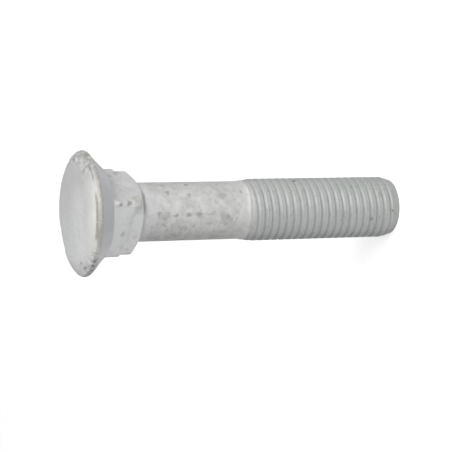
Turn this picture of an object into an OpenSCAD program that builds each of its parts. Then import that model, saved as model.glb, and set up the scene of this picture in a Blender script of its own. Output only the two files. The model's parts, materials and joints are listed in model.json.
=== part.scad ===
// Plow bolt, forged in one piece: a domed countersunk head, a short square neck whose corners
// are turned down in two steps, a plain shank and a threaded end. The bolt stands on the flat
// face of its tip, with its head up. All lengths along it are measured from the rim.

/* [Head] */
// Diameter across the rim of the head
head_d = 31.1; // [29:0.1:34]
// Height of the dome above the rim
dome_h = 2.7; // [2:0.1:4]
// Radius of the nearly flat middle of the dome
crown_r = 140; // [100:5:200]
// Radius that turns the dome down to the rim
shoulder_r = 7; // [5:0.5:12]
// Width of the straight land around the rim
land_h = 0.7; // [0.4:0.1:1.2]
// Included angle of the countersink under the head
seat_angle = 90; // [80:1:100]

/* [Neck] */
// Width of the square across its flats
neck_w = 16; // [15.5:0.1:17]
// Diameter over the corners next to the head
collar_d = 22.6; // [21.8:0.1:23]
// Diameter over the corners after the step
corner_d = 21.2; // [20:0.1:21.6]
// Distance from the rim to the step in the corners
step_at = 8.7; // [7.4:0.1:9.6]
// Length of the slope at the step
step_run = 0.8; // [0.2:0.1:1.2]
// Distance from the rim to the end of the neck
neck_end = 14.2; // [13.6:0.1:16]
// Length of the slope that takes the corners down to the shank
corner_run = 1.9; // [1.4:0.1:2.8]
// Turn of the square about the bolt
neck_turn = 35; // [0:1:90]

/* [Shank and thread] */
// Diameter of the plain shank
shank_d = 14.9; // [14.5:0.1:15.4]
// Major diameter of the thread
thread_d = 16; // [15.7:0.1:16.5]
// Distance from the rim to the tip
shank_l = 85.4; // [70:0.1:110]
// Length of the full thread with its end chamfer
thread_l = 42.4; // [30:0.1:50]
// Length over which the shank swells to the thread
run_out = 3; // [2:0.5:6]
// Diameter of the flat face at the tip
tip_d = 14.4; // [13:0.1:15]
// Length of the chamfer at the tip
tip_run = 2.5; // [1:0.1:3]

/* [Hidden] */
$fn = 96;

head_r = head_d / 2;
collar_r = collar_d / 2;
corner_r = corner_d / 2;
shank_r = shank_d / 2;
thread_r = thread_d / 2;
tip_r = tip_d / 2;

// The crown arc and the shoulder arc meet smoothly: their centres and the point where they
// touch lie on one line, and the shoulder arc ends on the edge of the rim.
crown_z = crown_r - dome_h;
crown_to_rim = norm([head_r, crown_z]);
centre_gap = crown_r - shoulder_r;
rim_a = atan2(head_r, crown_z);
apex_cos = (crown_to_rim ^ 2 + centre_gap ^ 2 - shoulder_r ^ 2) / (2 * crown_to_rim * centre_gap);
blend_a = rim_a - acos(apex_cos);
blend_r = crown_r * sin(blend_a);
shoulder_x = centre_gap * sin(blend_a);
shoulder_z = crown_z - centre_gap * cos(blend_a);

seat_end = land_h + (head_r - collar_r) / tan(seat_angle / 2);
corner_end = neck_end - corner_run;
thread_start = shank_l - thread_l;
run_out_start = thread_start - run_out;
chamfer_start = shank_l - tip_run;

// Half section of the dome, on the far side of the rim from the shank
module dome_section() {
    intersection() {
        translate([0, -2 * dome_h])
            square([head_r, 2 * dome_h]);
        union() {
            translate([shoulder_x, shoulder_z])
                circle(r = shoulder_r);
            intersection() {
                translate([0, crown_z])
                    circle(r = crown_r);
                translate([0, -2 * dome_h])
                    square([blend_r, 2 * dome_h]);
            }
        }
    }
}

// Part of a turned outline, from one distance and radius to the next
module turned(from, to, r_from, r_to) {
    translate([0, 0, from])
        cylinder(r1 = r_from, r2 = r_to, h = to - from);
}

// Domed head with its land and its countersunk seat
module head() {
    color("silver") {
        rotate_extrude()
            dome_section();
        turned(0, land_h, head_r, head_r);
        turned(land_h, seat_end, head_r, collar_r);
    }
}

// Square neck: a prism whose corners follow a turned outline with two steps
module neck() {
    color("silver")
        intersection() {
            rotate([0, 0, neck_turn])
                translate([-neck_w / 2, -neck_w / 2, 0])
                    cube([neck_w, neck_w, neck_end]);
            union() {
                turned(0, step_at, collar_r, collar_r);
                turned(step_at, step_at + step_run, collar_r, corner_r);
                turned(step_at + step_run, corner_end, corner_r, corner_r);
                turned(corner_end, neck_end, corner_r, shank_r);
            }
        }
}

// Plain shank, up to where it swells into the thread
module shank() {
    color("silver")
        turned(0, run_out_start, shank_r, shank_r);
}

// Run-out, thread at its major diameter, and chamfered tip
module threaded_end() {
    color("silver") {
        turned(run_out_start, thread_start, shank_r, thread_r);
        turned(thread_start, chamfer_start, thread_r, thread_r);
        turned(chamfer_start, shank_l, thread_r, tip_r);
    }
}

// The whole bolt, standing on the floor with its head up
module bolt() {
    translate([0, 0, shank_l])
        rotate([180, 0, 0])
            union() {
                head();
                neck();
                shank();
                threaded_end();
            }
}

bolt();
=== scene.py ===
import json
from math import acos, asin, atan2, cos, degrees, hypot, pi, radians, sin

import bmesh
import bpy
from mathutils import Matrix, Vector, noise


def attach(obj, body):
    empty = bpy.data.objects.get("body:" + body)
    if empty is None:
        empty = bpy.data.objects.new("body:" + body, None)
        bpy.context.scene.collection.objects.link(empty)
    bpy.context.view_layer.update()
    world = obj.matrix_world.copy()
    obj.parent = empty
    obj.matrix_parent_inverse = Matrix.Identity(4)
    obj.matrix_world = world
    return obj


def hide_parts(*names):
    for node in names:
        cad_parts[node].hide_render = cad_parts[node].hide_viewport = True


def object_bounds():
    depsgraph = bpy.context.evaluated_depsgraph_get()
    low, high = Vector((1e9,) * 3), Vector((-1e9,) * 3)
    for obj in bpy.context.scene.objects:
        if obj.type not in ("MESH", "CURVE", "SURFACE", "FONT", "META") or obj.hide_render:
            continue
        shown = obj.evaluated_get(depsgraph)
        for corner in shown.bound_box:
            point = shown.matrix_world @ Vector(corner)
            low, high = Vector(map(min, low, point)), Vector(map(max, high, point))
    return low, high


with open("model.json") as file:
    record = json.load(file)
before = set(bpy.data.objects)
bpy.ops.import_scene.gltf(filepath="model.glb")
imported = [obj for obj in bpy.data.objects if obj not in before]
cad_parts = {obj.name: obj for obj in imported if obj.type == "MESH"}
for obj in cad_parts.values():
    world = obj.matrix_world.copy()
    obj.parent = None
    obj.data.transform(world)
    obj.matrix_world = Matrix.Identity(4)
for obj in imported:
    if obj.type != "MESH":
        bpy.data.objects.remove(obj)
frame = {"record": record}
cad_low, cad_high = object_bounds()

MM = 0.001

# ------------------------------------------------------------------------------------------
# Camera. A long lens looks down past the head at the standing bolt and is turned on its side,
# so that the bolt lies across the picture with its head to the left and nearest.
DOME_H = 2.7 * MM
RIM_Z = cad_high.z - DOME_H
VIEW_DOWN = 22.447
VIEW_ROLL = -91.542
CAMERA_PLACE = Vector((-4.061 * MM, -373.047 * MM, RIM_Z + 115.465 * MM))
LENS = 125.2
SENSOR_WIDTH = 36
NEAREST_SEEN = 0.01
FARTHEST_SEEN = 10

camera_data = bpy.data.cameras.new("camera")
camera_data.lens = LENS
camera_data.sensor_width = SENSOR_WIDTH
camera_data.clip_start = NEAREST_SEEN
camera_data.clip_end = FARTHEST_SEEN
camera = bpy.data.objects.new("camera", camera_data)
bpy.context.scene.collection.objects.link(camera)
bpy.context.scene.camera = camera
aim = Matrix.Rotation(radians(90 - VIEW_DOWN), 4, "X") @ Matrix.Rotation(radians(VIEW_ROLL), 4, "Z")
aim.translation = CAMERA_PLACE
camera.matrix_world = aim

# ------------------------------------------------------------------------------------------
# Floor and light. A plain pale floor that runs on past the picture, a large soft lamp over
# the bolt as the picture shows it, a second one from the head's side, and a pale sky.
FLOOR_SIZE = 6.0
FLOOR_PAINT = (0.8, 0.8, 0.8, 1)
FLOOR_GLOW = 0.55
SKY_WHITE = (1, 1, 1, 1)
SKY_LIGHT = 0.43
SKY_SEEN = 1.0
PICTURE_UP = Vector((1, 0, 0))
TO_VIEWER = Vector((0, -1, 0))
HEADWARDS = Vector((0, 0, 1))
LAMP_SIZE = 0.4
KEY_PLACE = 0.22 * PICTURE_UP + 0.3 * TO_VIEWER + 0.44 * HEADWARDS
KEY_POWER = 2.15
FRONT_PLACE = 0.5 * TO_VIEWER + 0.06 * PICTURE_UP + 0.05 * HEADWARDS
FRONT_POWER = 0.46


def stage_floor():
    """The floor. The camera sees it glow a little, so that it is as pale as the sky behind it."""
    plane = bmesh.new()
    bmesh.ops.create_grid(plane, x_segments=1, y_segments=1, size=FLOOR_SIZE / 2)
    mesh = bpy.data.meshes.new("floor")
    plane.to_mesh(mesh)
    plane.free()
    floor = bpy.data.objects.new("floor", mesh)
    bpy.context.scene.collection.objects.link(floor)
    material = bpy.data.materials.new("floor_white")
    material.use_nodes = True
    nodes, links = material.node_tree.nodes, material.node_tree.links
    nodes.clear()
    paint = nodes.new("ShaderNodeBsdfDiffuse")
    paint.inputs["Color"].default_value = FLOOR_PAINT
    glow = nodes.new("ShaderNodeEmission")
    path = nodes.new("ShaderNodeLightPath")
    seen = nodes.new("ShaderNodeMath")
    seen.operation = "MULTIPLY"
    seen.inputs[1].default_value = FLOOR_GLOW
    both = nodes.new("ShaderNodeAddShader")
    out = nodes.new("ShaderNodeOutputMaterial")
    links.new(path.outputs["Is Camera Ray"], seen.inputs[0])
    links.new(seen.outputs[0], glow.inputs["Strength"])
    links.new(paint.outputs[0], both.inputs[0])
    links.new(glow.outputs[0], both.inputs[1])
    links.new(both.outputs[0], out.inputs["Surface"])
    mesh.materials.append(material)


def soft_lamp(name, place, power):
    """A square lamp that faces the middle of the bolt."""
    data = bpy.data.lights.new(name, "AREA")
    data.shape = "SQUARE"
    data.size = LAMP_SIZE
    data.energy = power
    lamp = bpy.data.objects.new(name, data)
    bpy.context.scene.collection.objects.link(lamp)
    middle = Vector((0, 0, cad_high.z / 2))
    lamp.location = middle + place
    lamp.rotation_mode = "QUATERNION"
    lamp.rotation_quaternion = (-place).to_track_quat("-Z", "Y")


def pale_sky():
    """The sky. It is white where the camera sees it, and lights the bolt less strongly."""
    world = bpy.data.worlds.new("world")
    bpy.context.scene.world = world
    world.use_nodes = True
    nodes, links = world.node_tree.nodes, world.node_tree.links
    sky = nodes["Background"]
    sky.inputs["Color"].default_value = SKY_WHITE
    path = nodes.new("ShaderNodeLightPath")
    level = nodes.new("ShaderNodeMix")
    level.data_type = "FLOAT"
    level.inputs["A"].default_value = SKY_LIGHT
    level.inputs["B"].default_value = SKY_SEEN
    links.new(path.outputs["Is Camera Ray"], level.inputs["Factor"])
    links.new(level.outputs["Result"], sky.inputs["Strength"])


stage_floor()
soft_lamp("key_lamp", KEY_PLACE, KEY_POWER)
soft_lamp("front_lamp", FRONT_PLACE, FRONT_POWER)
pale_sky()
bpy.context.scene.view_settings.view_transform = "Standard"

# ------------------------------------------------------------------------------------------
# Threaded end. The thread is rolled onto the bar, so the first turns swell up slowly from the
# plain shank, and the two sides of each crest meet in a shallow seam. The tip is chamfered.
mounts = {mount["name"]: mount for mount in frame["record"]["mounts"]}
THREAD_R = mounts["thread"]["dims"]["r_mm"] * MM
HEAD_R = cad_high.x
SHANK_R = 7.45 * MM
PITCH = 2 * MM
CREST_LIFT = 0.32 * MM
TIP_R = 7.2 * MM
TIP_RUN = 2.5 * MM
TIP_EDGE_R = 0.2 * MM
TIP_EDGE_STEPS = 4
TIP_RINGS = (0.8, 0.6, 0.4, 0.2, 0.02)
CHAMFER_EDGE_R = 0.25 * MM
PLAIN_SHANK_Z = RIM_Z - 41.5 * MM
SWELL_END_Z = RIM_Z - 42.6 * MM
FIRST_SWELL = 0.42
FULL_THREAD_Z = RIM_Z - 45.6 * MM
FIRST_RING_Z = RIM_Z - 43.1 * MM
FIRST_RING_DEPTH = 0.2 * MM
FIRST_RING_FLOOR = 0.1 * MM
FIRST_RING_EDGE = 0.5 * MM
THREAD_COLUMNS = 144
THREAD_DEPTH = 0.45 * MM
SEAM_DEPTH = 0.05 * MM
# Shares of half a turn, from the middle of the crest to the bottom of the groove.
SEAM_EDGE = 0.12
FLANK_FROM = 0.45
FLANK_TO = 0.97
THREAD_ROWS = (0.0, 0.12, 0.3, 0.46, 0.58, 0.7, 0.84, 1.0)
ROLLED_PAST = 0.5 * MM
SAME_PLACE = 0.001 * MM


def smooth_step(low, high, value):
    """Goes smoothly from 0 to 1 while the value goes from low to high."""
    share = min(1, max(0, (value - low) / (high - low)))
    return share * share * (3 - 2 * share)


def smooth_fall(low, high, value):
    return 1 - smooth_step(low, high, value)


def smooth_min(a, b, width):
    """The smaller of two sizes, rounded over where they are nearly equal."""
    near = max(0, width - abs(a - b)) / width
    return min(a, b) - near * near * width / 4


def groove_depth(along):
    """Depth of the thread at a distance along the axis from the middle of any crest."""
    share = abs((along / PITCH + 0.5) % 1 - 0.5) * 2
    flank = THREAD_DEPTH * smooth_step(FLANK_FROM, FLANK_TO, share)
    return flank + SEAM_DEPTH * max(0, 1 - share / SEAM_EDGE)


def rolled_end():
    """The threaded end: the rows of one turn after another, wound up along the axis."""
    end = bmesh.new()
    offsets = sorted({sign * row * PITCH / 2 for row in THREAD_ROWS for sign in (-1, 1)})[:-1]
    turns = int((PLAIN_SHANK_Z + ROLLED_PAST) / PITCH) + 2
    heights = [CREST_LIFT + PITCH * turn + offset for turn in range(-2, turns) for offset in offsets]
    row = [end.verts.new((THREAD_R, 0, height)) for height in heights]
    for lower, upper in zip(row, row[1:]):
        end.edges.new((lower, upper))
    bmesh.ops.spin(end, geom=end.verts[:] + end.edges[:], cent=(0, 0, 0), axis=(0, 0, 1),
                   dvec=(0, 0, PITCH / THREAD_COLUMNS), angle=2 * pi, steps=THREAD_COLUMNS)
    bmesh.ops.remove_doubles(end, verts=end.verts, dist=SAME_PLACE)
    for vert in end.verts:
        angle = atan2(vert.co.y, vert.co.x)
        height = vert.co.z
        rolled = smooth_fall(FULL_THREAD_Z, SWELL_END_Z, height)
        swell = FIRST_SWELL * smooth_fall(SWELL_END_Z, PLAIN_SHANK_Z, height)
        swell += (1 - FIRST_SWELL) * rolled
        groove = groove_depth(height - CREST_LIFT - PITCH * angle / (2 * pi))
        ring = smooth_fall(FIRST_RING_FLOOR, FIRST_RING_EDGE, abs(height - FIRST_RING_Z))
        radius = SHANK_R + (THREAD_R - SHANK_R) * swell
        radius -= max(groove * rolled, FIRST_RING_DEPTH * ring)
        cone = TIP_R + (THREAD_R - TIP_R) * height / TIP_RUN
        radius = smooth_min(radius, cone, CHAMFER_EDGE_R)
        vert.co.x, vert.co.y = radius * cos(angle), radius * sin(angle)
    return end


def cut_flat(skin, height, keep_below):
    """Cuts the skin off at a height and returns the open edge."""
    bmesh.ops.bisect_plane(skin, geom=skin.verts[:] + skin.edges[:] + skin.faces[:],
                           plane_co=(0, 0, height), plane_no=(0, 0, 1), dist=SAME_PLACE / 10,
                           clear_outer=keep_below, clear_inner=not keep_below)
    return [edge for edge in skin.edges
            if edge.is_boundary and all(abs(v.co.z - height) < SAME_PLACE for v in edge.verts)]


def close_tip(skin):
    """Rounds the edge of the tip and closes it with a flat face."""
    loop = cut_flat(skin, TIP_EDGE_R, keep_below=False)
    start_r = TIP_R + (THREAD_R - TIP_R) * TIP_EDGE_R / TIP_RUN
    turns = [step * pi / (2 * TIP_EDGE_STEPS) for step in range(1, TIP_EDGE_STEPS + 1)]
    rings = [(start_r - TIP_EDGE_R * (1 - cos(turn)), TIP_EDGE_R * (1 - sin(turn))) for turn in turns]
    rings += [(share * (start_r - TIP_EDGE_R), 0) for share in TIP_RINGS]
    for radius, height in rings:
        made = bmesh.ops.extrude_edge_only(skin, edges=loop)
        for vert in made["geom"]:
            if isinstance(vert, bmesh.types.BMVert):
                flat = Vector((vert.co.x, vert.co.y, 0)).normalized() * radius
                vert.co = (flat.x, flat.y, height)
        loop = [edge for edge in made["geom"]
                if isinstance(edge, bmesh.types.BMEdge) and edge.is_boundary]
    bmesh.ops.contextual_create(skin, geom=loop)


# ------------------------------------------------------------------------------------------
# Head, neck and shank. The head is forged under a flat die, so the dome is nearly flat with a
# round shoulder, and the square neck is struck in the lower die, which leaves steps in its
# corners and a slanting line over each flat.
CROWN_R = 140 * MM
SHOULDER_R = 7 * MM
LAND_H = 0.7 * MM
RIM_EDGE_R = 0.25 * MM
COLLAR_R = 11.3 * MM
CORNER_R = 10.55 * MM
SQUARE_HALF = 8 * MM
SEAT_END = LAND_H + HEAD_R - COLLAR_R
LEDGE_RUN = 1.1 * MM
NECK_END = 13.95 * MM
NECK_END_TILT = 0.12 * MM
CORNER_RUN = 1.8 * MM
NEAR_CORNER = radians(-79.6)
# Steps in the four corners, from the near one round to the lower one, as distance from the rim
# and depth. These and the place of the step across the flats are in millimetres.
CORNER_STEPS = (((6.75, 0.35), (8.9, 0.4)), ((9.1, 0.8),), ((8.9, 0.75),), ((8.9, 0.65),))
STEP_HALF_RUN = 0.35
FLAT_STEP = 0.2 * MM
FLAT_STEP_AT = 9.93
FLAT_STEP_SLANT = 1.4
FLAT_STEP_HALF_RUN = 0.4
# Where that step starts and ends to slant, in degrees from the middle of a flat.
SLANT_FROM = 20
SLANT_TO = 42
# How far the edges of the neck are rounded: on its corners, at their slope and at the shank.
CORNER_EDGE = 0.3 * MM
SLOPE_EDGE = 0.35 * MM
NECK_FOOT_EDGE = 0.4 * MM
# Columns round the axis, and rows along each stretch of the outline, in order from the dome.
FORGED_COLUMNS = 288
CROWN_ROWS = 26
SHOULDER_ROWS = 22
RIM_TURNS = (-1.3, -0.9, -0.5, -0.2, 0.2, 0.5, 0.9, 1.3)
SEAT_ROWS = 14
NECK_ROWS = 44
NECK_ROWS_END = NECK_END + 1.2 * MM
SHANK_ROWS = 30
THREAD_GAP = 0.4 * MM


def dome_outline():
    """Points of the dome from its middle to the rim: a flat crown, then a rounder shoulder."""
    crown_z = CROWN_R - DOME_H
    to_rim = hypot(HEAD_R, crown_z)
    gap = CROWN_R - SHOULDER_R
    blend = atan2(HEAD_R, crown_z) - acos((to_rim**2 + gap**2 - SHOULDER_R**2) / (2 * to_rim * gap))
    centre_r, centre_z = gap * sin(blend), gap * cos(blend) - crown_z
    last = asin((HEAD_R - centre_r) / SHOULDER_R)
    crown_turns = [blend * n / CROWN_ROWS for n in range(CROWN_ROWS)]
    crown = [(CROWN_R * sin(turn), CROWN_R * cos(turn) - crown_z) for turn in crown_turns]
    turns = [blend + (last - blend) * n / SHOULDER_ROWS for n in range(SHOULDER_ROWS)]
    shoulder = [(centre_r + SHOULDER_R * sin(turn), centre_z + SHOULDER_R * cos(turn)) for turn in turns]
    return crown + shoulder


def even_rows(start, end, count):
    """Points that divide a straight stretch of the outline evenly, without its first one."""
    across, along = end[0] - start[0], end[1] - start[1]
    return [(start[0] + across * n / count, start[1] + along * n / count) for n in range(1, count + 1)]


def forged_outline():
    """Half section of the head, neck and shank as (radius, distance below the rim)."""
    dome = [(radius, -height) for radius, height in dome_outline()]
    rim = [(HEAD_R - RIM_EDGE_R * (1 - cos(turn)), LAND_H / 2 * (1 + sin(turn))) for turn in RIM_TURNS]
    seat = even_rows((HEAD_R - RIM_EDGE_R, LAND_H), (COLLAR_R, SEAT_END), SEAT_ROWS)
    neck = even_rows((COLLAR_R, SEAT_END), (COLLAR_R, NECK_ROWS_END), NECK_ROWS)
    shank_end = RIM_Z - PLAIN_SHANK_Z - THREAD_GAP
    shank = even_rows((SHANK_R, NECK_ROWS_END), (SHANK_R, shank_end), SHANK_ROWS)
    return dome + rim + seat + neck + shank


def neck_radius(below, angle):
    """Radius of the square neck: its flats, cut off at the corners by the turned outline."""
    quarter = (angle - NEAR_CORNER + pi / 4) % (2 * pi) / (pi / 2)
    from_flat = (angle - NEAR_CORNER) % (pi / 2) - pi / 4
    turned = COLLAR_R
    for place, depth in CORNER_STEPS[int(quarter) % 4]:
        turned -= depth * MM * smooth_step(place - STEP_HALF_RUN, place + STEP_HALF_RUN, below / MM)
    slope = (below - NECK_END - NECK_END_TILT * cos(angle) + CORNER_RUN) / CORNER_RUN
    turned = smooth_min(turned, CORNER_R + (SHANK_R - CORNER_R) * slope, SLOPE_EDGE)
    line_at = FLAT_STEP_AT + FLAT_STEP_SLANT * smooth_step(SLANT_FROM, SLANT_TO, degrees(from_flat))
    past_line = smooth_step(line_at - FLAT_STEP_HALF_RUN, line_at + FLAT_STEP_HALF_RUN, below / MM)
    half = SQUARE_HALF - FLAT_STEP * past_line
    square = smooth_min(half / cos(from_flat), turned, CORNER_EDGE)
    ledge = max(0, 1 - (below - SEAT_END) / LEDGE_RUN) ** 2
    square += max(0, COLLAR_R - square) * ledge
    return -smooth_min(-square, -SHANK_R, NECK_FOOT_EDGE)


def forged_end():
    """Head, square neck and plain shank, open at the lower end."""
    forged = bmesh.new()
    line = [forged.verts.new((radius, 0, RIM_Z - below)) for radius, below in forged_outline()]
    for upper, lower in zip(line, line[1:]):
        forged.edges.new((upper, lower))
    bmesh.ops.spin(forged, geom=forged.verts[:] + forged.edges[:], cent=(0, 0, 0), axis=(0, 0, 1),
                   angle=2 * pi, steps=FORGED_COLUMNS, use_merge=True)
    bmesh.ops.remove_doubles(forged, verts=forged.verts, dist=SAME_PLACE)
    for vert in forged.verts:
        below = RIM_Z - vert.co.z
        if SEAT_END + SAME_PLACE < below < NECK_ROWS_END + SAME_PLACE:
            angle = atan2(vert.co.y, vert.co.x)
            radius = neck_radius(below, angle)
            vert.co.x, vert.co.y = radius * cos(angle), radius * sin(angle)
    return forged


# ------------------------------------------------------------------------------------------
# Zinc skin. The whole bolt is dipped in molten zinc, which rounds every edge and sets with a
# slightly lumpy skin. The rim has a crust on one side, torn nicks on the other, and one place
# that was knocked flat.
# Lumps are given as a height in millimetres and a number per metre. A pair of places is where a
# form starts and where it is full, or where it ends: across is millimetres from the axis, down
# is millimetres below the rim, and turns are degrees round the axis.
SKIN_LUMPS = ((0.014, 900), (0.03, 260))
HEAD_ACROSS = (9, 13)
HEAD_DOWN = (1.6, 3.5)
HEAD_ZINC = 0.02
THICK_ZINC = 0.2
THICK_SIDE = 188
THICK_TURNS = (10, 50)
CRUST_LUMPS = ((0.45, 560), (0.08, 1300))
CRUST_SINK = 0.06
CRUST_ACROSS = (10.5, 13.2)
CRUST_DOWN = (0.6, 1.6)
CRUST_TURNS = (15.2, 38)
LIP_ACROSS = (13.2, 15)
LIP_DOWN = (0.2, 0.9)
LIP_DENTS = (0.12, 800)
NICK_MIDDLE = -142
NICK_TURNS = (12, 24)
NICK_DEPTH = 0.8
NICKS_PER_DEGREE = 0.3
NICKS_PER_MM = 0.4
NICK_SLICE = 5
NICK_SINK = 0.05
ROUGH_ALL_ROUND = 0.35
FLAT_ACROSS = (9, 11.5)
FLAT_STARTS = (92, 110)
FLAT_ENDS = (132, 141)
FLAT_DEPTH = 0.24


def head_zinc(azimuth, below, radius):
    """The zinc on the outer part of the dome, thicker on one side."""
    wide = smooth_step(*HEAD_ACROSS, radius) * smooth_fall(*HEAD_DOWN, below)
    from_side = abs((azimuth + 360) % 360 - THICK_SIDE)
    return wide * (HEAD_ZINC + THICK_ZINC * smooth_fall(*THICK_TURNS, from_side))


def crust(place, azimuth, below, radius):
    """The lumps of the crust on one side of the rim."""
    at_rim = smooth_step(*CRUST_ACROSS, radius) * smooth_fall(*CRUST_DOWN, below)
    share = at_rim * smooth_fall(*CRUST_TURNS, abs(azimuth))
    (coarse, coarse_count), (fine, fine_count) = CRUST_LUMPS
    lumps = coarse * abs(noise.noise(place * coarse_count)) + fine * noise.noise(place * fine_count)
    return share * (lumps - CRUST_SINK)


def nicks(place, azimuth, below, radius):
    """The torn nicks in the lip, and small dents all round it."""
    at_lip = smooth_step(*LIP_ACROSS, radius) * smooth_fall(*LIP_DOWN, below)
    torn_side = at_lip * smooth_fall(*NICK_TURNS, abs(azimuth - NICK_MIDDLE))
    streaks = noise.noise(Vector((azimuth * NICKS_PER_DEGREE, NICKS_PER_MM * below, NICK_SLICE)))
    torn = max(0, streaks - NICK_SINK)
    rough = at_lip * (ROUGH_ALL_ROUND + (1 - ROUGH_ALL_ROUND) * torn_side)
    dent, dent_count = LIP_DENTS
    return NICK_DEPTH * torn_side * torn + dent * rough * max(0, noise.noise(place * dent_count))


def flattened(azimuth, radius):
    """The place that was knocked flat in the edge of the rim."""
    along = smooth_step(*FLAT_STARTS, azimuth) * smooth_fall(*FLAT_ENDS, azimuth)
    return FLAT_DEPTH * along * smooth_step(*FLAT_ACROSS, radius)


def zinc_lift(place):
    """How far the zinc stands out from the forged steel, in millimetres."""
    lift = sum(height * noise.noise(place * count) for height, count in SKIN_LUMPS)
    below = (RIM_Z - place.z) / MM
    radius = hypot(place.x, place.y) / MM
    azimuth = degrees(atan2(place.y, place.x))
    if below < HEAD_DOWN[1] and radius > HEAD_ACROSS[0]:
        lift += head_zinc(azimuth, below, radius)
        lift += crust(place, azimuth, below, radius)
        lift -= nicks(place, azimuth, below, radius)
        lift -= flattened(azimuth, radius)
    return lift


def bolt_skin():
    """The whole surface of the bolt as one closed mesh."""
    skin = rolled_end()
    cut_flat(skin, PLAIN_SHANK_Z, keep_below=True)
    close_tip(skin)
    forged = forged_end()
    mesh = bpy.data.meshes.new("bolt_zinc")
    forged.to_mesh(mesh)
    forged.free()
    skin.from_mesh(mesh)
    bmesh.ops.bridge_loops(skin, edges=[edge for edge in skin.edges if edge.is_boundary])
    bmesh.ops.recalc_face_normals(skin, faces=skin.faces)
    skin.normal_update()
    moves = [(vert, vert.normal * zinc_lift(vert.co) * MM)
             for vert in skin.verts if vert.co.z > TIP_EDGE_R]
    for vert, move in moves:
        vert.co += move
    for face in skin.faces:
        face.smooth = True
    skin.to_mesh(mesh)
    skin.free()
    return mesh


# ------------------------------------------------------------------------------------------
# Look of the zinc. It sets dull and light grey, in paler and darker clouds with small dark
# pits. The dome has painted light, paler towards its lower and near sides, and the plain shank
# is the dirtiest part, with painted shade along its upper and lower sides.
# A coat is red, green, blue and how much of it covers what lies under it. A place with three
# numbers is a band, from and to and how soft its edges are, and one with two is where the coat
# starts and where it is full. Down, across and turns are as for the zinc skin.
DARK_CLOUDS = (0.56, 0.565, 0.55, 1)
PALE_CLOUDS = (0.66, 0.665, 0.65, 1)
WARM_CLOUDS = (0.7, 0.705, 0.66, 0.4)
DOME_DULL = (0.62, 0.625, 0.62, 1)
DOME_PAINTED_LIGHT = (0.78, 0.785, 0.8, 1)
DOME_SHARE = 0.7
PAINTED_LIGHT_SIDE = (0.86, 0.865, 0.86, 0.42)
FINE_CLOUDS = (0.5, 0.505, 0.51, 0.35)
MOTTLES = (0.33, 0.335, 0.31, 1)
PITS = (0.24, 0.24, 0.22, 0.28)
SCRATCH = (0.3, 0.3, 0.28, 0.4)
SHANK_SIDE_SHADE = (0.42, 0.43, 0.425, 1)
DOME_DOWN = (-0.6, -0.2)
DOME_X = (10, -8)
PALE_SIDE_X = (9, 3)
PALE_SIDE_Y = (-10, -2, 3)
SHANK_DOWN = (15, 41, 1.5)
MOTTLES_ELSEWHERE = 0.14
PITS_PER_MM = 0.5
SCRATCH_DOWN = (24.5, 33, 0.6)
SCRATCH_TURNS = (-99.5, -95, 1.5)
CLOUD_ROUGHNESS = 0.6
PUSH_SCALE = 1.1
PUSHED_BY = 0.8

zinc = bpy.data.materials.new("zinc")
zinc.use_nodes = True
nodes, links = zinc.node_tree.nodes, zinc.node_tree.links
shader = nodes["Principled BSDF"]


def feed(socket, value):
    if isinstance(value, bpy.types.NodeSocket):
        links.new(value, socket)
    else:
        socket.default_value = value


def fed(node, *values):
    """The node, with the given values in its first sockets."""
    for socket, value in zip(node.inputs, values):
        feed(socket, value)
    return node


def maths(operation, first, second=0.0, third=0.0):
    node = nodes.new("ShaderNodeMath")
    node.operation = operation
    return fed(node, first, second, third).outputs[0]


def vector_maths(operation, *values):
    node = nodes.new("ShaderNodeVectorMath")
    node.operation = operation
    return fed(node, *values)


def times(*shares):
    product = shares[0]
    for share in shares[1:]:
        product = maths("MULTIPLY", product, share)
    return product


def rise(value, low, high, start=0.0, end=1.0):
    """Goes smoothly from start to end while the value goes from low to high."""
    node = nodes.new("ShaderNodeMapRange")
    node.interpolation_type = "SMOOTHSTEP"
    return fed(node, value, low, high, start, end).outputs[0]


def window(value, low, high, edge):
    """Is 1 while the value is between low and high, with an edge that is soft on both sides."""
    start = rise(value, low - edge, low + edge)
    end = rise(value, high - edge, high + edge, 1, 0)
    return times(start, end)


def blend(under, over, share):
    node = nodes.new("ShaderNodeMix")
    node.data_type = "RGBA"
    feed(node.inputs[0], share)
    feed(node.inputs[6], under)
    feed(node.inputs[7], over)
    return node.outputs[2]


def layer(under, coat, share):
    """Lays a coat over the colours so far."""
    red, green, blue, cover = coat
    return blend(under, (red, green, blue, 1), times(share, cover))


def soft_noise(vector, scale, detail=2.0):
    node = nodes.new("ShaderNodeTexNoise")
    links.new(vector, node.inputs["Vector"])
    node.inputs["Scale"].default_value = scale
    node.inputs["Detail"].default_value = detail
    return node


def clouds(size, detail, shift=0.0):
    """Soft noise from 0 to 1 with clouds of about the given size in millimetres."""
    node = soft_noise(place, 1 / size, detail)
    node.noise_dimensions = "4D"
    node.inputs["W"].default_value = shift
    node.inputs["Roughness"].default_value = CLOUD_ROUGHNESS
    return node.outputs["Fac"]


# Places on the bolt, in millimetres and degrees: below is the distance from the rim towards
# the tip, and upward goes from 1 at azimuth 0 to -1 at the other side.
coordinates = nodes.new("ShaderNodeTexCoord")
place = vector_maths("MULTIPLY", coordinates.outputs["Object"], (1 / MM, 1 / MM, 1 / MM)).outputs[0]
apart = fed(nodes.new("ShaderNodeSeparateXYZ"), place)
x, y, z = apart.outputs
radius = maths("SQRT", maths("ADD", times(x, x), times(y, y)))
azimuth = times(maths("ARCTAN2", y, x), 180 / pi)
below = maths("SUBTRACT", RIM_Z / MM, z)
upward = maths("COSINE", maths("RADIANS", azimuth))

# A copy of the place that is pushed about a little, so that the edges of marks are ragged.
push = soft_noise(place, PUSH_SCALE, 3).outputs["Color"]
push = vector_maths("MULTIPLY_ADD", push, (2 * PUSHED_BY,) * 3, (-PUSHED_BY,) * 3).outputs[0]
ragged = vector_maths("ADD", place, push).outputs[0]

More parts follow.
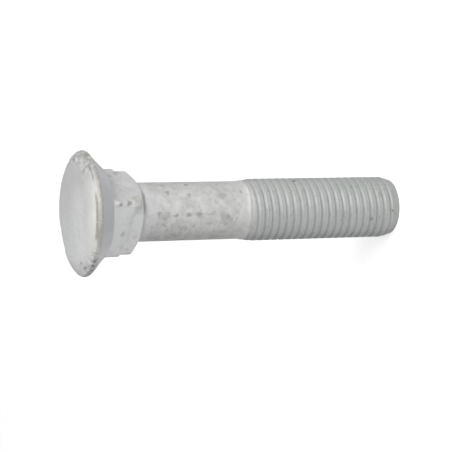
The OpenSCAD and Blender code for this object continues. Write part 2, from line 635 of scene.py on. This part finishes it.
# Clouds of paler and darker zinc over the whole bolt, fainter and finer on the dome.
on_dome = rise(below, *DOME_DOWN, 1, 0)
broad, middle, fine = clouds(8, 3), clouds(2.4, 6, 1.7), clouds(0.6, 3, 4.1)
colour = blend(DARK_CLOUDS, PALE_CLOUDS, rise(middle, 0.35, 0.65))
colour = layer(colour, WARM_CLOUDS, rise(broad, 0.5, 0.7))
# Painted light on the dome: its lower side and its near side are painted paler.
colour = blend(colour, blend(DOME_DULL, DOME_PAINTED_LIGHT, rise(x, *DOME_X)), times(on_dome, DOME_SHARE))
colour = layer(colour, PAINTED_LIGHT_SIDE, times(on_dome, window(y, *PALE_SIDE_Y), rise(x, *PALE_SIDE_X)))
colour = layer(colour, FINE_CLOUDS, rise(fine, 0.45, 0.72))

# Darker mottles and small pits, most of them on the shank, and one scratch along it.
on_shank = window(below, *SHANK_DOWN)
mottles = times(rise(clouds(1.3, 4, 9.3), 0.44, 0.68), rise(clouds(4, 2, 6.6), 0.36, 0.56))
dirty_side = rise(upward, -0.17, 0.21, 0.55, 0.26)
mottle_share = maths("ADD", times(on_shank, dirty_side), MOTTLES_ELSEWHERE)
colour = layer(colour, MOTTLES, times(mottles, mottle_share))
cells = nodes.new("ShaderNodeTexVoronoi")
links.new(ragged, cells.inputs["Vector"])
cells.inputs["Scale"].default_value = PITS_PER_MM
choice = fed(nodes.new("ShaderNodeSeparateColor"), cells.outputs["Color"])
pits = times(rise(cells.outputs["Distance"], 0.05, 0.28, 1, 0), rise(choice.outputs[0], 0.55, 0.65))
colour = layer(colour, PITS, pits)
scratch = times(window(below, *SCRATCH_DOWN), window(azimuth, *SCRATCH_TURNS))
colour = layer(colour, SCRATCH, times(scratch, rise(clouds(0.8, 3, 44), 0.35, 0.6)))
# Painted shade along the upper and lower sides of the shank.
painted_side_shade = maths("ADD", rise(upward, 0.5, 0.97, 0, 0.2), rise(upward, -0.87, -0.5, 0.3, 0))
colour = layer(colour, SHANK_SIDE_SHADE, times(on_shank, painted_side_shade))

# ------------------------------------------------------------------------------------------
# Look of the neck. Its zinc is cleaner than that of the shank, with painted light that makes
# one flat paler still and the flats next to the seat paler, and a few grey marks on its flats.
# Both ends of the plain shank are clean too.
NECK = (0.79, 0.795, 0.805, 1)
SHANK_TOP = (0.66, 0.665, 0.685, 0.45)
SHANK_FOOT = (0.67, 0.675, 0.67, 0.35)
NECK_MARKS = (0.47, 0.475, 0.45, 0.5)
NECK_LIGHT_BY_SEAT = (0.88, 0.885, 0.895, 0.45)
NECK_DOWN = (4.9, 13.4, 0.3)
LIT_FLAT_TURNS = (-168, -82, 3)
LIT_FLAT_SHARE = 0.66
OTHER_FLATS_SHARE = 0.25
SHANK_TOP_DOWN = (14.2, 15.8, 0.5)
SHANK_FOOT_DOWN = (39.2, 42.3, 0.7)
NECK_MARKS_DOWN = (5.5, 13.4, 0.3)
BY_SEAT_DOWN = (5, 8.6, 0.5)
BY_SEAT_TURNS = (-165, -88, 5)

# Paler zinc on the neck, with painted light on its lower near flat, which is painted paler still.
paleness_and_light = maths("ADD", times(window(azimuth, *LIT_FLAT_TURNS), LIT_FLAT_SHARE), OTHER_FLATS_SHARE)
colour = layer(colour, NECK, times(window(below, *NECK_DOWN), paleness_and_light))
colour = layer(colour, SHANK_TOP, window(below, *SHANK_TOP_DOWN))
colour = layer(colour, SHANK_FOOT, window(below, *SHANK_FOOT_DOWN))
neck_marks = times(window(below, *NECK_MARKS_DOWN), rise(clouds(1.6, 4, 71), 0.5, 0.7))
colour = layer(colour, NECK_MARKS, neck_marks)
# Painted light on the flats next to the seat, where the ledge shades them.
colour = layer(colour, NECK_LIGHT_BY_SEAT, times(window(below, *BY_SEAT_DOWN), window(azimuth, *BY_SEAT_TURNS)))

# ------------------------------------------------------------------------------------------
# Look of the seat and the lip. The seat is smooth and bluish, with painted shade on its near
# side and painted light on its lower side. The lip of the dome has a creamy tint and a painted
# highlight, with painted shade on the upper near part of the shoulder and along the rim's edge,
# brown dirt and a thin painted shade on the land behind it, and a dirty line along it.
SEAT = (0.57, 0.58, 0.595, 0.8)
NEAR_SEAT_SHADE = (0.46, 0.475, 0.5, 0.6)
LOW_SEAT_LIGHT = (0.72, 0.73, 0.745, 0.55)
LIP_CREAM_AND_HIGHLIGHT = (0.735, 0.73, 0.7, 0.8)
SHOULDER_SHADE = (0.5, 0.5, 0.49, 0.3)
RIM_EDGE_SHADE = (0.5, 0.49, 0.47, 0.6)
LAND_DIRT_AND_SHADE = (0.33, 0.305, 0.27, 1)
LIP_LINE = (0.35, 0.33, 0.295, 1)
WORN_PLACE = (0.36, 0.35, 0.32, 0.55)
SEAT_DOWN = (0.75, 4.9, 0.15)
NEAR_SEAT_TURNS = (-112, -58, 8)
LOW_SEAT_TURNS = (-168, -132, 8)
LIP_CREAM_DOWN = (-2.75, -1.3)
LIP_CREAM_ACROSS = (8, 14.8)
LIP_CREAM_TURNS = (-145, -60, 11)
SHOULDER_SHADE_DOWN = (-2.3, -1.5)
SHOULDER_SHADE_TURNS = (-86, -44, 8)
RIM_SHADE_DOWN = (-0.35, 0.15, 0.15)
RIM_SHADE_ACROSS = (14.8, 15.2)
DIRT_DOWN = (-0.08, 0.88, 0.18)
DIRT_TURNS = (-118, -46, 7)
DIRT_SHARE = 0.36
LIP_LINE_DOWN = (-0.82, -0.3, 0.14)
LIP_LINE_STARTS = (-66, -84)
LIP_LINE_TURNS = (-115, 160, 4)
WORN_DOWN = (-0.7, 0.4, 0.2)
WORN_TURNS = (-116, -103, 4)

on_seat = window(below, *SEAT_DOWN)
colour = layer(colour, SEAT, on_seat)
# Painted shade on the near side of the seat and painted light on its lower side.
colour = layer(colour, NEAR_SEAT_SHADE, times(on_seat, window(azimuth, *NEAR_SEAT_TURNS)))
colour = layer(colour, LOW_SEAT_LIGHT, times(on_seat, window(azimuth, *LOW_SEAT_TURNS)))
# A creamy band on the lip, partly the zinc's tint and partly a painted highlight.
lip_cream_and_highlight = times(rise(below, *LIP_CREAM_DOWN), on_dome, rise(radius, *LIP_CREAM_ACROSS))
colour = layer(colour, LIP_CREAM_AND_HIGHLIGHT, times(lip_cream_and_highlight, window(azimuth, *LIP_CREAM_TURNS)))
# Painted shade on the upper near part of the shoulder, which dims its highlight.
shoulder_shade = times(on_dome, rise(below, *SHOULDER_SHADE_DOWN), window(azimuth, *SHOULDER_SHADE_TURNS))
colour = layer(colour, SHOULDER_SHADE, shoulder_shade)
# Painted shade on the edge of the rim, full except on its lower side, which dims its highlight.
edge = times(window(below, *RIM_SHADE_DOWN), rise(radius, *RIM_SHADE_ACROSS))
colour = layer(colour, RIM_EDGE_SHADE, times(edge, rise(upward, -0.5, -0.35, 0.35, 1)))

smudges = rise(clouds(0.9, 3, 12.5), 0.3, 0.6, 0.6, 1)
# Brown dirt on the land, most of it on the near side, and a thin layer all round that is partly dirt and
# partly painted shade, stronger on the upper side.
thin_dirt_and_shade = rise(upward, -0.5, -0.35, 0.1, 0.3)
land_dirt_and_shade = maths("MULTIPLY_ADD", window(azimuth, *DIRT_TURNS), DIRT_SHARE, thin_dirt_and_shade)
colour = layer(colour, LAND_DIRT_AND_SHADE, times(window(below, *DIRT_DOWN), land_dirt_and_shade, smudges))
along_lip = times(rise(azimuth, *LIP_LINE_STARTS, 0.2, 1), window(azimuth, *LIP_LINE_TURNS))
colour = layer(colour, LIP_LINE, times(window(below, *LIP_LINE_DOWN), along_lip, smudges))
worn = times(window(below, *WORN_DOWN), window(azimuth, *WORN_TURNS), smudges)
colour = layer(colour, WORN_PLACE, worn)

# ------------------------------------------------------------------------------------------
# Look of the damaged rim. The crust on one side is speckled dark and white and ends in a brown
# scab, the lip has a dark slit next to it, and the other side is torn, with grey lumps by it.
CRUST_DARK = (0.36, 0.36, 0.34, 0.8)
CRUST_WHITE = (0.82, 0.82, 0.8, 0.7)
TORN = (0.24, 0.235, 0.22, 0.8)
SCAB = (0.37, 0.355, 0.33, 1)
SLIT = (0.22, 0.21, 0.2, 0.75)
STREAK_SHARE = 0.7
LUMPS = (0.38, 0.38, 0.37, 0.25)
RIM_DOWN = (-2.1, 0.9, 0.35)
RIM_ACROSS = (11.5, 13.5)
SPECKLED_TURNS = (-46, 34, 10)
TEARS_PER_DEGREE = 0.36
TEARS_PER_MM = 0.5
TORN_DOWN = (-1, 0.8, 0.3)
TORN_ACROSS = (14, 15.1)
TORN_TURNS = (-160, -130, 5)
SCAB_DOWN = (-0.9, 0.6, 0.25)
SCAB_ACROSS = (13.8, 14.6)
SCAB_TURNS = (-46, -22, 4)
SLIT_DOWN = (-0.74, -0.5, 0.1)
SLIT_TURNS = (-58, -42, 3)
STREAK_DOWN = (-0.8, -0.5, 0.12)
STREAK_TURNS = (-80, -72, 2)
LUMPS_TURNS = (-168, -150, 8)

at_rim = times(window(below, *RIM_DOWN), rise(radius, *RIM_ACROSS))
specks = clouds(1.2, 3, 21)
on_crust = times(at_rim, window(azimuth, *SPECKLED_TURNS))
colour = layer(colour, CRUST_DARK, times(on_crust, rise(specks, 0.4, 0.54, 1, 0)))
colour = layer(colour, CRUST_WHITE, times(on_crust, rise(specks, 0.54, 0.62)))
around = nodes.new("ShaderNodeCombineXYZ")
fed(around, times(azimuth, TEARS_PER_DEGREE), times(below, TEARS_PER_MM))
tears = soft_noise(around.outputs[0], 1).outputs["Fac"]
torn = times(window(below, *TORN_DOWN), rise(radius, *TORN_ACROSS), window(azimuth, *TORN_TURNS))
colour = layer(colour, TORN, times(torn, rise(tears, 0.42, 0.66)))
scab = times(window(azimuth, *SCAB_TURNS), window(below, *SCAB_DOWN), rise(radius, *SCAB_ACROSS))
colour = layer(colour, SCAB, times(scab, rise(specks, 0.6, 0.4, 0.3, 0.75)))
slit = times(window(below, *SLIT_DOWN), window(azimuth, *SLIT_TURNS), smudges)
streak = times(window(below, *STREAK_DOWN), window(azimuth, *STREAK_TURNS), smudges, STREAK_SHARE)
colour = layer(colour, SLIT, maths("ADD", slit, streak))
lumps = times(at_rim, window(azimuth, *LUMPS_TURNS), rise(specks, 0.42, 0.56, 1, 0))
colour = layer(colour, LUMPS, lumps)

# ------------------------------------------------------------------------------------------
# Painted shade and dirt on the neck. The slanting step across its flats is painted as a soft,
# broken dark line of shade, painted shade and grey dirt lie in the corner where the neck ends on
# the shank, and grey dirt lies on its near corner.
STEP_SHADE = (0.45, 0.46, 0.47, 0.4)
STEP_LINE_AT = 10.05
NECK_END_SHADE_AND_DIRT = (0.22, 0.235, 0.22, 1)
CORNER_DIRT = (0.42, 0.45, 0.39, 0.6)
STEP_LINE_BAND = (-0.25, 0.45, 0.5)
STEP_LINE_SLANTS = (-104, -83)
STEP_LINE_TURNS = (-150, -83, 6)
NECK_END_BAND = (-0.42, 0.5, 0.25)
NECK_END_TURNS = (-92, -52, 8)
NECK_END_SHARE = 0.5
NECK_END_ELSEWHERE = 0.12
CORNER_DIRT_DOWN = (10.4, 12.8, 0.5)
CORNER_DIRT_TURNS = (-88, -66, 5)

# Painted shade along the slanting step across the flats.
slant = maths("ADD", times(rise(azimuth, *STEP_LINE_SLANTS), FLAT_STEP_SLANT), STEP_LINE_AT)
step_shade = window(maths("SUBTRACT", below, slant), *STEP_LINE_BAND)
broken = rise(clouds(1.6, 2, 61), 0.35, 0.6, 0.35, 1)
colour = layer(colour, STEP_SHADE, times(step_shade, window(azimuth, *STEP_LINE_TURNS), broken))
# Painted shade and grey dirt in the corner where the neck ends on the shank, most on the near side.
tilt = times(upward, NECK_END_TILT / MM)
past_end = maths("SUBTRACT", maths("SUBTRACT", below, tilt), NECK_END / MM)
end_share = maths("ADD", times(window(azimuth, *NECK_END_TURNS), NECK_END_SHARE), NECK_END_ELSEWHERE)
colour = layer(colour, NECK_END_SHADE_AND_DIRT, times(window(past_end, *NECK_END_BAND), end_share))
corner_dirt = times(window(azimuth, *CORNER_DIRT_TURNS), window(below, *CORNER_DIRT_DOWN))
colour = layer(colour, CORNER_DIRT, corner_dirt)

# ------------------------------------------------------------------------------------------
# Look of the thread. The zinc is thinner here and looks darker and a little greener, with dark
# smears along the turns. Its lower side has painted light, its upper and lower edges have
# painted shade, and the first shallow turn has a painted highlight on one side.
THREAD_LOWER_PAINTED_LIGHT = (0.495, 0.518, 0.506, 1)
THREAD_DARK = (0.43, 0.454, 0.44, 1)
THREAD_SHARE = 0.75
THREAD_EDGE_SHADE = (0.33, 0.35, 0.34, 1)
FIRST_TURN_HIGHLIGHT = (0.82, 0.82, 0.79, 0.6)
SMEARS = (0.2, 0.215, 0.205, 0.42)
THREAD_DOWN = (42.6, 43.6)
FIRST_TURN_DOWN = (42.2, 42.85, 0.25)
FIRST_TURN_TURNS = (-78, -36, 12)

on_thread = rise(below, *THREAD_DOWN)
# Painted light: the thread's lower side is painted lighter than its upper side.
thread_tone_and_light = blend(THREAD_LOWER_PAINTED_LIGHT, THREAD_DARK, rise(upward, -0.7, 0.1))
colour = blend(colour, thread_tone_and_light, times(on_thread, THREAD_SHARE))
# Painted shade along the thread's upper and lower edges.
edges = maths("ADD", rise(upward, -0.98, -0.7, 0.45, 0), rise(upward, 0.85, 0.99, 0, 0.25))
colour = layer(colour, THREAD_EDGE_SHADE, times(on_thread, edges))
# Painted highlight on one side of the first shallow turn.
first_turn_highlight = times(window(below, *FIRST_TURN_DOWN), window(azimuth, *FIRST_TURN_TURNS))
colour = layer(colour, FIRST_TURN_HIGHLIGHT, first_turn_highlight)
smears = times(on_thread, rise(clouds(0.7, 4, 33), 0.5, 0.68), rise(clouds(5, 2, 37), 0.4, 0.6))
colour = layer(colour, SMEARS, smears)

# ------------------------------------------------------------------------------------------
# Single marks. Pits from handling, in the rim, on the neck, along the shank and in the thread,
# and pale spots on the neck's near corner that are painted highlights. Each has an azimuth, a
# distance below the rim, one from the axis, a size and, for the dark ones, a share.
MARK = (0.15, 0.15, 0.14, 1)
RIM_MARKS = ((-139.4, -0.19, 15.34, 0.6, 0.7), (-145.2, -0.17, 15.39, 0.55, 0.7),
             (-153.4, 0.6, 15.5, 0.9, 0.7), (-118.1, 0.25, 15.54, 0.8, 0.2), (-4.3, -1.61, 13.4, 0.9, 0.5))
# Of the neck marks, the third, fourth and fifth are painted shade in the steps of the near corner.
NECK_PITS_AND_STEP_SHADE = ((-4.8, 7.28, 9.2, 0.9, 0.3), (0.6, 9.37, 9.8, 1.3, 0.35), (-81, 6.8, 11, 0.65, 0.6),
             (-84.5, 6.85, 10.95, 0.6, 0.6), (-78.4, 9.08, 10.8, 1.1, 0.5), (-132.5, 8.73, 8.06, 0.9, 0.25))
SHANK_PITS = ((-30, 20.2, 7.45, 0.8, 0.35), (-52, 20.6, 7.45, 1.1, 0.5), (-95, 17.8, 7.45, 0.8, 0.5),
              (-98, 19.7, 7.45, 1.5, 0.25), (-99.6, 22.3, 7.45, 0.8, 0.6), (-98.3, 25.7, 7.45, 0.9, 0.55),
              (-98, 28.5, 7.45, 1.0, 0.35), (-28, 26.5, 7.45, 0.9, 0.45), (-60, 26.3, 7.45, 0.8, 0.45),
              (-62, 35.2, 7.45, 1.6, 0.25), (-104, 35.5, 7.45, 1.5, 0.25), (-52, 40.6, 7.45, 0.8, 0.4))
THREAD_SPECKS = ((-25.5, 56.65, 7.9, 0.75, 0.9), (-97.6, 83.05, 7.9, 0.7, 0.7),
                 (-114.4, 77.1, 7.9, 0.6, 0.5))
HIGHLIGHT_SPOT = (0.85, 0.85, 0.83, 0.4)
CORNER_HIGHLIGHTS = ((-77.5, 5.8, 10.85, 1.0), (-78, 6, 10.9, 0.8), (-74, 10.1, 10.3, 0.8), (-70, 12, 9.9, 0.7))
# Soft round pits in the dome, as azimuth, distance from the axis and share.
DOME_PIT = (0.22, 0.22, 0.22, 1)
DOME_PITS = ((-157.5, 14.6, 0.65), (-157.5, 13.2, 0.4))
DOME_PIT_DEGREES = 5.5
DOME_PIT_R = 0.6
SPOT_CORE = 0.35


def spot(turn, from_rim, from_axis, size):
    """A ragged mark at an azimuth, a distance below the rim and a distance from the axis."""
    angle = radians(turn)
    centre = (from_axis * cos(angle), from_axis * sin(angle), RIM_Z / MM - from_rim)
    away = vector_maths("DISTANCE", ragged, centre).outputs["Value"]
    return rise(away, SPOT_CORE * size, size, 1, 0)


grain = rise(clouds(0.45, 3, 51), 0.35, 0.6, 0.7, 1.1)
for turn, from_rim, from_axis, size, share in RIM_MARKS + NECK_PITS_AND_STEP_SHADE + SHANK_PITS + THREAD_SPECKS:
    colour = layer(colour, MARK, times(spot(turn, from_rim, from_axis, size), grain, share))
for turn, from_axis, share in DOME_PITS:
    across = maths("DIVIDE", maths("SUBTRACT", azimuth, turn), DOME_PIT_DEGREES)
    along = maths("DIVIDE", maths("SUBTRACT", radius, from_axis), DOME_PIT_R)
    away = maths("SQRT", maths("ADD", times(across, across), times(along, along)))
    colour = layer(colour, DOME_PIT, times(rise(away, 0.1, 1, 1, 0), on_dome, share))
# Painted highlights on the steps of the neck's near corner.
for turn, from_rim, from_axis, size in CORNER_HIGHLIGHTS:
    colour = layer(colour, HIGHLIGHT_SPOT, spot(turn, from_rim, from_axis, size))

# ------------------------------------------------------------------------------------------
# Finish of the zinc. It is half dull, a little smoother where it is paler, and its skin and
# pits can be felt with a fingertip. The finished skin then takes the place of the plain bolt.
METALLIC = 0.25
DULLEST = 0.6
SMOOTHEST = 0.48
BUMP_STRENGTH = 0.5
BUMP_DEPTH = 0.05 * MM
FINE_BUMPS = 0.5
PIT_BUMPS = 1.5

feed(shader.inputs["Base Color"], colour)
feed(shader.inputs["Metallic"], METALLIC)
feed(shader.inputs["Roughness"], rise(middle, 0.3, 0.7, DULLEST, SMOOTHEST))
bump = nodes.new("ShaderNodeBump")
bump.inputs["Strength"].default_value = BUMP_STRENGTH
bump.inputs["Distance"].default_value = BUMP_DEPTH
height = maths("SUBTRACT", maths("MULTIPLY_ADD", fine, FINE_BUMPS, middle), times(pits, PIT_BUMPS))
feed(bump.inputs["Height"], height)
feed(shader.inputs["Normal"], bump.outputs[0])

bolt_mesh = bolt_skin()
bolt_mesh.materials.append(zinc)
bolt_piece = bpy.data.objects.new("bolt_zinc", bolt_mesh)
bpy.context.scene.collection.objects.link(bolt_piece)
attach(bolt_piece, "root")
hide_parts("bolt")
